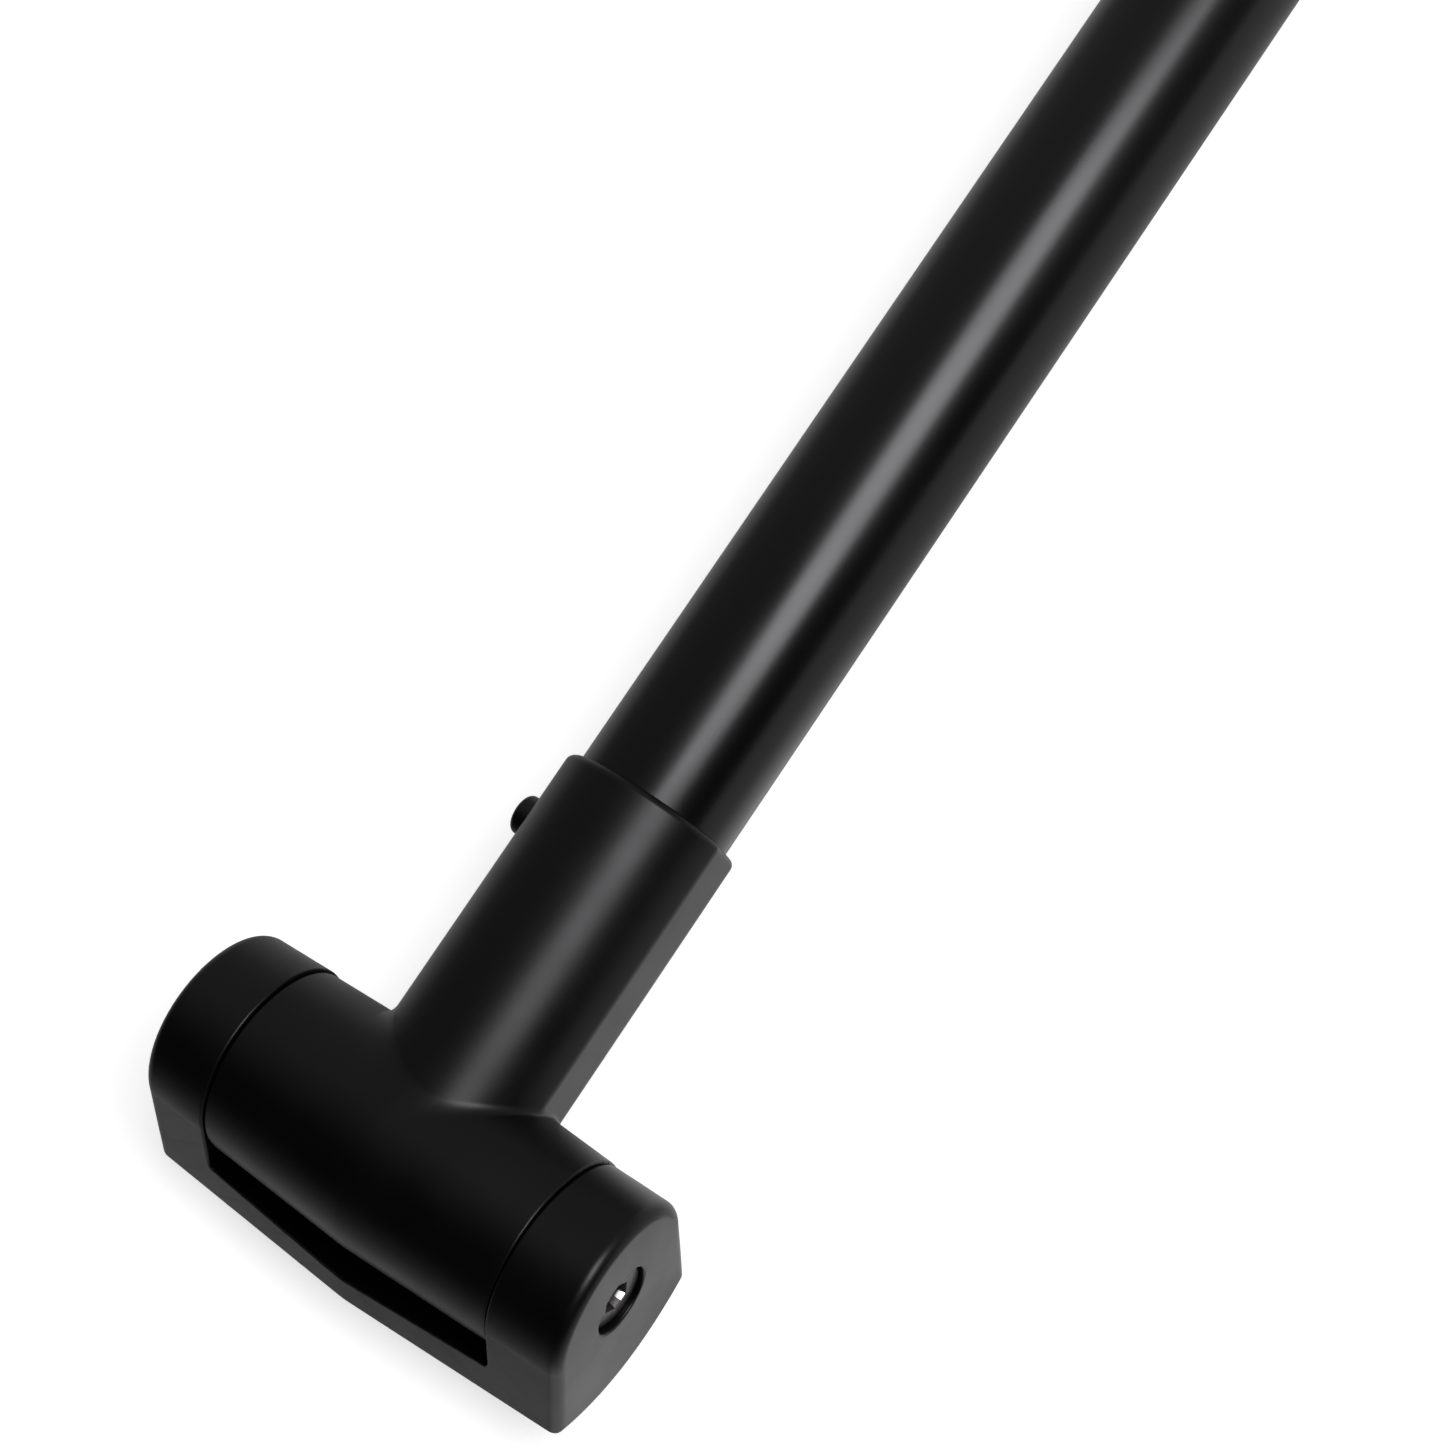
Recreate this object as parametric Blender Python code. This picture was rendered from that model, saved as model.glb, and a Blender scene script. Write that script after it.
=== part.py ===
"""Bed cargo bar: a telescoping tube with a pivoting T foot at each end.

Frame: metres, +X along the bar towards the sliding end, +Z up, origin on the
floor under the bar's middle. Both ends are the same casting set; the far one
is the near one turned half a turn about Z. Sizes below are in millimetres.
"""
import math

import bpy
from mathutils import Vector

for item in list(bpy.data.objects):
    bpy.data.objects.remove(item, do_unlink=True)
bpy.context.scene.unit_settings.scale_length = 1.0

MM = 0.001
SHARP_ANGLE = math.radians(35.0)

# Whole bar
AXIS_HEIGHT = 36.94        # tube axis above the floor the feet rest on
PIVOT_SPAN = 1400.0        # pivot to pivot with the bar at its middle length
HALF_SPAN = PIVOT_SPAN / 2
FOOT_REST_DEG = 23.0       # turn of each foot from hanging straight down

# Tubes
TUBE_R = 19.05
TUBE_BORE_R = TUBE_R - 2.0
INNER_R = 16.65
INNER_BORE_R = INNER_R - 1.8
TUBE_START = 24.6          # tube end, measured from the pivot
OUTER_START = -HALF_SPAN + TUBE_START
OUTER_END = OUTER_START + 736.0
INNER_END = HALF_SPAN - TUBE_START
INNER_START = INNER_END - 926.0

# Head casting (collar and barrel)
COLLAR_R = 21.8
COLLAR_POINTS = 44
COLLAR_FLAT_HALF = 6.5     # half height of each side flat
COLLAR_MOUTH = 91.6
COLLAR_BORE_R = 19.35
COLLAR_BORE_START = 24.0
BARREL_HALF = 38.9
BARREL_END_R = 22.6
BARREL_MID_R = 24.1
BARREL_CROWN_HALF = 8.0    # half length of the blend at the barrel's middle
BARREL_OFFSET = 1.5        # from the collar's axis to the barrel's middle, to the left

# Foot yoke
FOOT_HALF = 57.6
EAR_INNER = 39.6
TOP_END_R = 22.4
DRAFT = 0.0384             # widening per millimetre towards mid length
EDGE_DRAFT_SHARE = 0.9     # share of the draft by which the lower edges deepen
SIDE_LEAN = 0.05           # widening of the sides per millimetre downwards
BASE_EDGE = 25.2           # depth of the lower long edges at the ends
BASE_CROWN = 7.0           # how far the underside bulges below those edges
LIP_END = 13.4             # depth of the trough's lips beside the ears
LIP_MID = 17.7             # and at mid length
TROUGH_END = 26.0          # depth of the trough's bottom beside the ears
TROUGH_MID = 26.8
MID_STATION = 20.0         # section between mid length and the ears
COUNTERBORE_R = 7.7
COUNTERBORE_FLOOR = FOOT_HALF - 8.4
LAND_DEPTH = 29.6          # flat on the crowned underside that carries the pad
CUT_REACH = 40.0           # how far the yoke's cuts run, clear of the casting
# (distance from the foot's end, inset of the section)
END_FILLET = ((0.0, 3.5), (0.47, 1.75), (1.75, 0.47), (3.5, 0.0))

# Foot pad
PAD_BOTTOM = 34.0
PAD_HALF_X = 15.5
PAD_HALF_Y = 40.0
PAD_CORNER_R = 4.0
PLUG_R = 3.0
PLUG_HOLE_R = 3.3
PLUG_PLACES = (("a", 26.0), ("b", -26.0))    # name, y

# Pivot hardware
BOLT_R = 4.0
BOLT_HEAD_R = 7.0
BOLT_HEAD_RECESS = 2.0
BOLT_HOLE_R = 4.3
WASHER_GAP = 0.3
WASHER_THICK = 1.2
WASHER_START = COUNTERBORE_FLOOR + WASHER_GAP
BOLT_SEAT = WASHER_START + WASHER_THICK + WASHER_GAP    # under the bolt head and the nut
NUT_HEIGHT = 4.4
BUSH_OUT_R = 6.0
BUSH_IN_R = 4.08
BUSH_FLANGE_R = 9.5
BUSH_LENGTH = 14.0

# Snap button and its spring
BUTTON_R = 4.75
BUTTON_FLANGE_R = 6.0
BUTTON_HOLE_R = 5.1        # in the collar and the adapter sleeve
BUTTON_GUIDE_R = 4.83      # in the tube walls
BUTTON_X = 75.4            # from the pivot
BUTTON_TIP = 25.6          # from the tube axis
SPRING_LENGTH = 34.0
SPRING_BEND_R = 5.0
SPRING_THICK = 0.7
SPRING_HALF_WIDTH = 3.6

# Twist lock on the outer tube's mouth
COLLET_START = OUTER_END - 24.0
COLLET_TIP = OUTER_END + 16.0
LOCK_START = COLLET_START - 8.0
LOCK_END = OUTER_END + 22.0
LOCK_R = 25.6
LOCK_BORE_R = TUBE_R + 2.95
LOCK_CLEARANCE = 0.35
FLUTE_AXIS_R = 28.3        # flute axes from the tube axis

# Points round a circle
SEGMENTS = 40
PIVOT_SEGMENTS = 28
BUTTON_SEGMENTS = 24
PLUG_SEGMENTS = 16
NUT_BORE_SEGMENTS = 32
FLUTE_SEGMENTS = 14

ORIGIN = (0.0, 0.0, 0.0)


# ---------------------------------------------------------------- materials

def material(name, colour, roughness, metallic):
    made = bpy.data.materials.new(name)
    made.use_nodes = True
    shader = made.node_tree.nodes["Principled BSDF"]
    shader.inputs["Base Color"].default_value = (*colour, 1.0)
    shader.inputs["Roughness"].default_value = roughness
    shader.inputs["Metallic"].default_value = metallic
    return made


CASTING = material(
    "satin_black_casting", colour=(0.020, 0.020, 0.022), roughness=0.42, metallic=0.0)
TUBE = material(
    "satin_black_tube", colour=(0.018, 0.018, 0.021), roughness=0.36, metallic=0.0)
ANODISED = material(
    "black_anodised_tube", colour=(0.035, 0.035, 0.04), roughness=0.3, metallic=0.6)
STEEL = material(
    "zinc_plated_steel", colour=(0.55, 0.54, 0.50), roughness=0.3, metallic=1.0)
NYLON = material(
    "white_nylon", colour=(0.75, 0.74, 0.70), roughness=0.5, metallic=0.0)
PLASTIC = material(
    "black_plastic", colour=(0.03, 0.03, 0.03), roughness=0.55, metallic=0.0)
BUTTON = material(
    "black_button", colour=(0.022, 0.022, 0.024), roughness=0.35, metallic=0.0)
SPRING = material(
    "spring_steel", colour=(0.42, 0.43, 0.45), roughness=0.28, metallic=1.0)
RUBBER = material(
    "black_rubber", colour=(0.03, 0.03, 0.03), roughness=0.85, metallic=0.0)


# ---------------------------------------------------------------- objects

def empty(name, location, parent=None, turn_y=0.0, turn_z=0.0):
    made = bpy.data.objects.new(name, None)
    bpy.context.scene.collection.objects.link(made)
    made.location = tuple(c * MM for c in location)
    made.rotation_euler = (0.0, turn_y, turn_z)
    made.parent = parent
    return made


def make_object(name, shape, look, parent):
    """One object from a shape: points in millimetres, and faces."""
    points, faces = shape
    mesh = bpy.data.meshes.new(name)
    mesh.from_pydata([tuple(c * MM for c in point) for point in points], [], faces)
    mesh.validate()
    if look is not None:
        mesh.materials.append(look)
    mesh.shade_smooth()
    mesh.set_sharp_from_angle(angle=SHARP_ANGLE)
    made = bpy.data.objects.new(name, mesh)
    bpy.context.scene.collection.objects.link(made)
    made.parent = parent
    return made


def combine(target, name, shape, parent, operation="DIFFERENCE"):
    """Cuts a hidden helper out of the target, or joins it on; returns the helper."""
    helper = make_object(name, shape, None, parent)
    helper.hide_render = True
    helper.display_type = "WIRE"
    step = target.modifiers.new(operation.lower() + "_" + helper.name, "BOOLEAN")
    step.operation = operation
    step.object = helper
    step.solver = "EXACT"
    return helper


# ---------------------------------------------------------------- general shapes

def facing_out(points, faces):
    """The shape with its faces flipped if they enclose a negative volume."""
    volume = 0.0
    for face in faces:
        first = Vector(points[face[0]])
        for j in range(1, len(face) - 1):
            volume += first.dot(Vector(points[face[j]]).cross(Vector(points[face[j + 1]])))
    if volume < 0:
        faces = [tuple(reversed(face)) for face in faces]
    return points, faces


def loft(rings):
    """Closed body through rings of equal count."""
    count = len(rings[0])
    points = [point for ring in rings for point in ring]
    faces = []
    for i in range(len(rings) - 1):
        for j in range(count):
            here = i * count + j
            beside = i * count + (j + 1) % count
            faces.append((here, beside, beside + count, here + count))
    faces.append(tuple(reversed(range(count))))
    last = (len(rings) - 1) * count
    faces.append(tuple(last + j for j in range(count)))
    return facing_out(points, faces)


def place(axis, along, across, up, centre=ORIGIN):
    """A point from its distance along the axis and the two distances off it."""
    point = {"X": (along, across, up), "Y": (across, along, up), "Z": (across, up, along)}[axis]
    return tuple(point[i] + centre[i] for i in range(3))


def turned(profile, axis, segments=SEGMENTS):
    """Ring-shaped body of revolution. The profile is (along, radius) round the section."""
    points = []
    for k in range(segments):
        t = 2.0 * math.pi * k / segments
        points += [place(axis, along, radius * math.cos(t), radius * math.sin(t))
                   for along, radius in profile]
    count = len(profile)
    faces = []
    for k in range(segments):
        here, beside = k * count, (k + 1) % segments * count
        for j in range(count):
            m = (j + 1) % count
            faces.append((here + j, here + m, beside + m, beside + j))
    return facing_out(points, faces)


def rod(profile, axis, centre=ORIGIN, segments=SEGMENTS):
    """Solid of revolution with flat ends. The profile is (along, radius) from end to end."""
    angles = [2 * math.pi * k / segments for k in range(segments)]
    return loft([
        [place(axis, along, radius * math.cos(t), radius * math.sin(t), centre) for t in angles]
        for along, radius in profile])


def cylinder(start, end, radius, axis, centre=ORIGIN, segments=SEGMENTS):
    return rod([(start, radius), (end, radius)], axis, centre, segments)


def ring_profile(start, end, bore, radius):
    return [(start, bore), (start, radius), (end, radius), (end, bore)]


def mirrored(half, middle):
    """Pairs from the negative side, the middle ones, then the same pairs mirrored."""
    return half + middle + [(-along, value) for along, value in reversed(half)]


def slab(x_span, y_span, z_span):
    (x_low, x_high), (y_low, y_high) = x_span, y_span
    return loft([
        [(x_low, y_low, z), (x_high, y_low, z), (x_high, y_high, z), (x_low, y_high, z)]
        for z in z_span])


def hexagon_bar(across_flats, start, end):
    """Hexagonal bar along Y."""
    radius = across_flats / math.sqrt(3.0)
    angles = [math.radians(60 * k) for k in range(6)]
    return loft([[(radius * math.cos(t), y, radius * math.sin(t)) for t in angles]
                 for y in (start, end)])


def button_hole(radius, x, way):
    """Cylinder that cuts a button hole on the +Y (way 1) or -Y (way -1) side."""
    return cylinder(way * 12.0, way * 26.0, radius, "Y", (x, 0, 0), BUTTON_SEGMENTS)


# ---------------------------------------------------------------- head

def collar_outline():
    """(y, z) of a circle with a vertical flat on each side."""
    flat = math.sqrt(COLLAR_R * COLLAR_R - COLLAR_FLAT_HALF * COLLAR_FLAT_HALF)
    outline = []
    for k in range(COLLAR_POINTS):
        t = 2.0 * math.pi * (k + 0.5) / COLLAR_POINTS
        y, z = COLLAR_R * math.cos(t), COLLAR_R * math.sin(t)
        if abs(z) < COLLAR_FLAT_HALF:
            y = math.copysign(flat, y)
        outline.append((y, z))
    return outline


def collar_shape():
    """Collar along +X with a rounded edge at its mouth."""
    # (distance from the pivot, inset)
    stations = ((0.0, 0.0), (COLLAR_MOUTH - 3.0, 0.0), (COLLAR_MOUTH - 1.8, 0.25),
                (COLLAR_MOUTH - 0.8, 0.75), (COLLAR_MOUTH, 1.6))
    rings = []
    for x, inset in stations:
        scale = (COLLAR_R - inset) / COLLAR_R
        rings.append([(x, y * scale, z * scale) for y, z in collar_outline()])
    return loft(rings)


def barrel_shape():
    """Barrel along Y, thicker in the middle, with rounded end edges."""
    end, mid = BARREL_END_R, BARREL_MID_R
    slope = (mid - end) / BARREL_HALF
    half = [(-BARREL_HALF, end - 0.9),
            (-BARREL_HALF + 0.3, end - 0.3),
            (-BARREL_HALF + 1.0, end + slope),
            (-BARREL_CROWN_HALF, mid - BARREL_CROWN_HALF * slope)]
    return rod(mirrored(half, [(0.0, mid - 0.12)]), "Y")


def pivot_bore_shape():
    """Through bore along Y, with a pocket and a flange recess for each bush."""
    flange_r, pocket_r, through_r = BUSH_FLANGE_R + 0.3, BUSH_OUT_R + 0.03, 5.0
    flange_seat = -BARREL_HALF + 1.15
    pocket_end = -(BARREL_HALF - (BUSH_LENGTH + 1.0))
    half = [(-BARREL_HALF - 1.0, flange_r), (flange_seat, flange_r),
            (flange_seat, pocket_r), (pocket_end, pocket_r), (pocket_end, through_r)]
    return rod(mirrored(half, []), "Y", segments=PIVOT_SEGMENTS)


def build_head(side, pivot, collar):
    head = make_object("head_" + side, barrel_shape(), CASTING, pivot)
    combine(head, "cut_collar_" + side, collar_shape(), collar, "UNION")
    bore = rod([(COLLAR_BORE_START, COLLAR_BORE_R),
                (COLLAR_MOUTH - 0.6, COLLAR_BORE_R),
                (COLLAR_MOUTH + 1.0, COLLAR_BORE_R + 0.8)], "X")
    combine(head, "cut_bore_" + side, bore, collar)
    combine(head, "cut_pivot_" + side, pivot_bore_shape(), pivot)
    combine(head, "cut_button_hole_" + side, button_hole(BUTTON_HOLE_R, BUTTON_X, 1.0), collar)


def build_bushes(side, pivot):
    """Flanged bushes at the barrel's ends."""
    flange_out, flange_in = BARREL_HALF + 0.35, BARREL_HALF - 0.85
    tail = BARREL_HALF - BUSH_LENGTH
    profile = [(flange_out, BUSH_IN_R), (flange_out, BUSH_FLANGE_R), (flange_in, BUSH_FLANGE_R),
               (flange_in, BUSH_OUT_R), (tail, BUSH_OUT_R), (tail, BUSH_IN_R)]
    for name, way in (("left", 1.0), ("right", -1.0)):
        shape = turned([(way * y, radius) for y, radius in profile], "Y", PIVOT_SEGMENTS)
        make_object(f"pivot_bush_{name}_{side}", shape, NYLON, pivot)


# ---------------------------------------------------------------- foot

def half_width(y, z):
    """Half the foot's width at height z (negative below the pivot)."""
    return TOP_END_R + (FOOT_HALF - abs(y)) * DRAFT + SIDE_LEAN * max(0.0, -z)


def foot_outline(y, inset):
    """(x, z) of the foot at y: round top, leaning sides, crowned underside."""
    top = half_width(y, 0.0)
    edge = -(BASE_EDGE + (FOOT_HALF - abs(y)) * DRAFT * EDGE_DRAFT_SHARE)
    wide = half_width(y, edge)
    side = half_width(y, edge * 0.5)
    outline = []
    for k in range(19):
        t = math.pi * k / 18
        outline.append((top * math.cos(t), top * math.sin(t)))
    outline.append((-side, edge * 0.5))
    for k in range(11):
        x = -wide + 2.0 * wide * k / 10
        outline.append((x, edge - BASE_CROWN * (1.0 - (x / wide) ** 2)))
    outline.append((side, edge * 0.5))
    return [(x * (1 - inset / wide), z * (1 - inset / (abs(edge) if z < 0 else top)))
            for x, z in outline]


def foot_shape():
    half = [(-(FOOT_HALF - distance), inset) for distance, inset in END_FILLET]
    half += [(-EAR_INNER, 0.0), (-MID_STATION, 0.0)]
    return loft([[(x, y, z) for x, z in foot_outline(y, inset)]
                 for y, inset in mirrored(half, [(0.0, 0.0)])])


def trough_outline(y):
    """(x, z) of the space above the base at y: an arc that rises to each lip."""
    part = 1.0 - abs(y) / EAR_INNER
    lip = -(LIP_END + (LIP_MID - LIP_END) * part)
    bottom = -(TROUGH_END + (TROUGH_MID - TROUGH_END) * part)
    wide = half_width(y, lip)
    rise = lip - bottom
    radius = (wide * wide + rise * rise) / (2.0 * rise)
    centre = bottom + radius
    # Runs past the lips, but stops short of the arc's vertical tangent
    reach = min(radius * 0.985, wide + 4.0)
    outline = []
    for k in range(15):
        x = -reach + 2.0 * reach * k / 14
        outline.append((x, centre - math.sqrt(radius * radius - x * x)))
    outline += [(CUT_REACH, outline[-1][1]), (CUT_REACH, CUT_REACH),
                (-CUT_REACH, CUT_REACH), (-CUT_REACH, outline[0][1])]
    return outline


def trough_shape():
    return loft([[(x, y, z) for x, z in trough_outline(y)]
                 for y in (-EAR_INNER, -MID_STATION, 0.0, MID_STATION, EAR_INNER)])


def build_yoke(side, swing):
    yoke = make_object("foot_yoke_" + side, foot_shape(), CASTING, swing)
    combine(yoke, "cut_trough_" + side, trough_shape(), swing)
    land_half = PAD_HALF_Y + 1.0
    land = slab((-CUT_REACH, CUT_REACH), (-land_half, land_half), (-60, -LAND_DEPTH))
    combine(yoke, "cut_land_" + side, land, swing)
    bolt_hole = ((EAR_INNER - 3.0, BOLT_HOLE_R), (COUNTERBORE_FLOOR, BOLT_HOLE_R),
                 (COUNTERBORE_FLOOR, COUNTERBORE_R), (FOOT_HALF + 2.0, COUNTERBORE_R))
    for name, way in (("a", 1.0), ("b", -1.0)):
        hole = rod([(way * y, radius) for y, radius in bolt_hole], "Y", segments=PIVOT_SEGMENTS)
        combine(yoke, f"cut_counterbore_{name}_{side}", hole, swing)
    for name, y in PLUG_PLACES:
        hole = cylinder(-35.0, -20.0, PLUG_HOLE_R, "Z", (0.0, y, 0.0), PLUG_SEGMENTS)
        combine(yoke, f"cut_pad_plug_{name}_{side}", hole, swing)


def pad_shape():
    """Rounded rubber block with bevelled lower edges."""
    # (height, inset)
    levels = ((-(LAND_DEPTH + 0.3), 0.0), (-PAD_BOTTOM + 1.0, 0.0),
              (-PAD_BOTTOM + 0.3, 0.35), (-PAD_BOTTOM, 1.1))
    # (x side, y side, first angle)
    corners = ((1, 1, 0), (-1, 1, 90), (-1, -1, 180), (1, -1, 270))
    rings = []
    for z, inset in levels:
        radius = PAD_CORNER_R - inset
        ring = []
        for x_side, y_side, start in corners:
            for k in range(5):
                t = math.radians(start + 22.5 * k)
                ring.append((x_side * (PAD_HALF_X - PAD_CORNER_R) + radius * math.cos(t),
                             y_side * (PAD_HALF_Y - PAD_CORNER_R) + radius * math.sin(t), z))
        rings.append(ring)
    return loft(rings)


def build_pad(side, swing):
    """Pad, moulded with two plugs that press up through the base."""
    pad = make_object("foot_pad_" + side, pad_shape(), RUBBER, swing)
    profile = [(-LAND_DEPTH - 2.0, PLUG_R), (-TROUGH_END - 1.0, PLUG_R),
               (-TROUGH_END - 0.7, PLUG_R - 0.4)]
    for name, y in PLUG_PLACES:
        plug = rod(profile, "Z", (0.0, y, 0.0), PLUG_SEGMENTS)
        combine(pad, f"plug_{name}_{side}", plug, swing, "UNION")


# ---------------------------------------------------------------- pivot bolt

def build_bolt(side, swing):
    """Bolt along Y, its socket head at the -Y end."""
    face = -(FOOT_HALF - BOLT_HEAD_RECESS)
    shape = rod([
        (face, BOLT_HEAD_R - 0.5), (face + 0.5, BOLT_HEAD_R), (-BOLT_SEAT, BOLT_HEAD_R),
        (-BOLT_SEAT, BOLT_R), (FOOT_HALF - 2.2, BOLT_R), (FOOT_HALF - 1.6, BOLT_R - 0.6),
    ], "Y", segments=PIVOT_SEGMENTS)
    bolt = make_object("pivot_bolt_" + side, shape, STEEL, swing)
    combine(bolt, "cut_socket_" + side, hexagon_bar(6.0, face - 1.0, face + 3.2), swing)


def build_washers(side, swing):
    for name, way in (("head", -1.0), ("nut", 1.0)):
        profile = ring_profile(way * WASHER_START, way * (WASHER_START + WASHER_THICK),
                               BOLT_R + 0.35, BOLT_HEAD_R + 0.2)
        make_object(f"pivot_washer_{name}_{side}", turned(profile, "Y", PIVOT_SEGMENTS),
                    STEEL, swing)


def build_nut(side, swing):
    shape = hexagon_bar(12.6, BOLT_SEAT, BOLT_SEAT + NUT_HEIGHT)
    nut = make_object("pivot_nut_" + side, shape, STEEL, swing)
    bore = cylinder(COUNTERBORE_FLOOR, COUNTERBORE_FLOOR + 9.0, BOLT_R + 0.3, "Y",
                    segments=NUT_BORE_SEGMENTS)
    combine(nut, "cut_nut_bore_" + side, bore, swing)


# ---------------------------------------------------------------- snap button

def build_button(side, collar, shoulder):
    """Button along +Y; its flange ends at the shoulder, inside the tube."""
    shape = rod([
        (shoulder - 1.3, BUTTON_FLANGE_R), (shoulder, BUTTON_FLANGE_R),
        (shoulder + 0.001, BUTTON_R), (BUTTON_TIP - 1.1, BUTTON_R),
        (BUTTON_TIP - 0.45, BUTTON_R - 0.3), (BUTTON_TIP - 0.1, BUTTON_R - 0.9),
        (BUTTON_TIP, BUTTON_R - 1.7),
    ], "Y", (BUTTON_X, 0, 0), BUTTON_SEGMENTS)
    make_object("snap_button_" + side, shape, BUTTON, collar)


def leaf_spring_shape(top, bottom):
    """A strip bent back on itself: one leg under the button, the other sloping away."""
    bend_x = BUTTON_X + SPRING_LENGTH - 6.0
    path = [(BUTTON_X - 6.0, top), (bend_x, top)]
    for k in range(1, 8):
        t = math.radians(90 - 22.5 * k)
        path.append((bend_x + SPRING_BEND_R * math.cos(t),
                     top - SPRING_BEND_R + SPRING_BEND_R * math.sin(t)))
    path.append((BUTTON_X - 2.0, bottom))
    outside, inside = [], []
    for i, (x, y) in enumerate(path):
        before = Vector(path[max(i - 1, 0)])
        after = Vector(path[min(i + 1, len(path) - 1)])
        along = (after - before).normalized()
        offset = Vector((-along.y, along.x)) * (SPRING_THICK / 2)
        outside.append((x + offset.x, y + offset.y))
        inside.append((x - offset.x, y - offset.y))
    outline = outside + list(reversed(inside))
    return loft([[(x, y, z) for x, y in outline]
                 for z in (-SPRING_HALF_WIDTH, SPRING_HALF_WIDTH)])


# ---------------------------------------------------------------- tubes

def build_outer_tube(bar):
    start, end, bevel = OUTER_START, OUTER_END, 0.4
    wall = [(start, TUBE_BORE_R), (start, TUBE_R - bevel), (start + bevel, TUBE_R),
            (end - bevel, TUBE_R), (end, TUBE_R - bevel), (end, TUBE_BORE_R)]
    tube = make_object("outer_tube", turned(wall, "X"), TUBE, bar)
    hole = button_hole(BUTTON_GUIDE_R, -HALF_SPAN + BUTTON_X, 1.0)
    combine(tube, "cut_outer_hole", hole, bar)


def build_inner_tube(bar):
    """Inner tube, from the far head back into the outer tube."""
    wall = ring_profile(INNER_START, INNER_END, INNER_BORE_R, INNER_R)
    tube = make_object("inner_tube", turned(wall, "X"), ANODISED, bar)
    hole = button_hole(BUTTON_GUIDE_R, HALF_SPAN - BUTTON_X, -1.0)
    combine(tube, "cut_inner_hole", hole, bar)


def build_adapter_sleeve(bar):
    """Flanged sleeve between the inner tube and the far head's bore."""
    start = HALF_SPAN - COLLAR_MOUTH - 6.0
    flange_end, flange_r = start + 5.4, TUBE_R + 2.0
    bore = INNER_R + 0.05
    profile = [(start, bore), (start, flange_r), (flange_end, flange_r),
               (flange_end, TUBE_R), (INNER_END, TUBE_R), (INNER_END, bore)]
    sleeve = make_object("adapter_sleeve", turned(profile, "X"), PLASTIC, bar)
    hole = button_hole(BUTTON_HOLE_R, HALF_SPAN - BUTTON_X, -1.0)
    combine(sleeve, "cut_sleeve_hole", hole, bar)


def build_slide_bush(bar):
    """Guide bush on the inner tube's inboard end."""
    start, flange_end, end = INNER_START - 2.3, INNER_START - 0.3, INNER_START + 18.0
    bore, spigot_r, flange_r = INNER_BORE_R - 1.5, INNER_BORE_R - 0.05, TUBE_BORE_R - 0.05
    profile = [(start, bore), (start, flange_r), (flange_end, flange_r),
               (flange_end, spigot_r), (end, spigot_r), (end, bore)]
    make_object("slide_bush", turned(profile, "X"), PLASTIC, bar)


# ---------------------------------------------------------------- twist lock

def build_collet(bar):
    """Slotted collet on the outer tube's mouth, to grip the inner tube."""
    step = OUTER_END + 0.3
    tube_fit, inner_fit, radius = TUBE_R + 0.05, INNER_R + 0.05, TUBE_R + 2.6
    profile = [(COLLET_START, tube_fit), (COLLET_START, radius), (step, radius),
               (OUTER_END + 6.0, TUBE_R + 1.8), (COLLET_TIP, INNER_R + 1.4),
               (COLLET_TIP, inner_fit), (step, inner_fit), (step, tube_fit)]
    collet = make_object("lock_collet", turned(profile, "X"), PLASTIC, bar)
    for k in range(4):
        shape = slab((OUTER_END + 4.0, OUTER_END + 20.0), (-0.8, 0.8), (-30.0, 30.0))
        slot = combine(collet, f"cut_collet_slot_{k}", shape, bar)
        slot.rotation_euler = (math.pi * k / 4, 0.0, 0.0)


def build_lock_sleeve(bar):
    """Twist-lock sleeve over the collet, with finger flutes."""
    tube_fit, inner_fit = TUBE_R + LOCK_CLEARANCE, INNER_R + LOCK_CLEARANCE
    bore_start = COLLET_START - 0.4
    profile = [
        # outside
        (LOCK_START, tube_fit), (LOCK_START, 24.2), (LOCK_START + 1.5, LOCK_R),
        (LOCK_END - 6.0, LOCK_R), (LOCK_END - 1.2, 22.6), (LOCK_END, 21.6),
        # inside, back from the tip
        (LOCK_END, inner_fit), (OUTER_END + 17.4, inner_fit), (OUTER_END + 17.2, TUBE_R - 0.5),
        (OUTER_END + 6.2, TUBE_R + 2.5), (OUTER_END + 5.0, LOCK_BORE_R),
        (bore_start, LOCK_BORE_R), (bore_start, tube_fit)]
    lock = make_object("lock_sleeve", turned(profile, "X"), PLASTIC, bar)
    flute = [(LOCK_START + 8.0, 3.4), (LOCK_START + 9.5, 4.0),
             (LOCK_END - 14.0, 4.0), (LOCK_END - 12.5, 3.4)]
    for k in range(6):
        t = math.radians(60 * k)
        centre = (0.0, FLUTE_AXIS_R * math.cos(t), FLUTE_AXIS_R * math.sin(t))
        combine(lock, f"cut_flute_{k}", rod(flute, "X", centre, FLUTE_SEGMENTS), bar)


# ---------------------------------------------------------------- assembly

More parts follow.
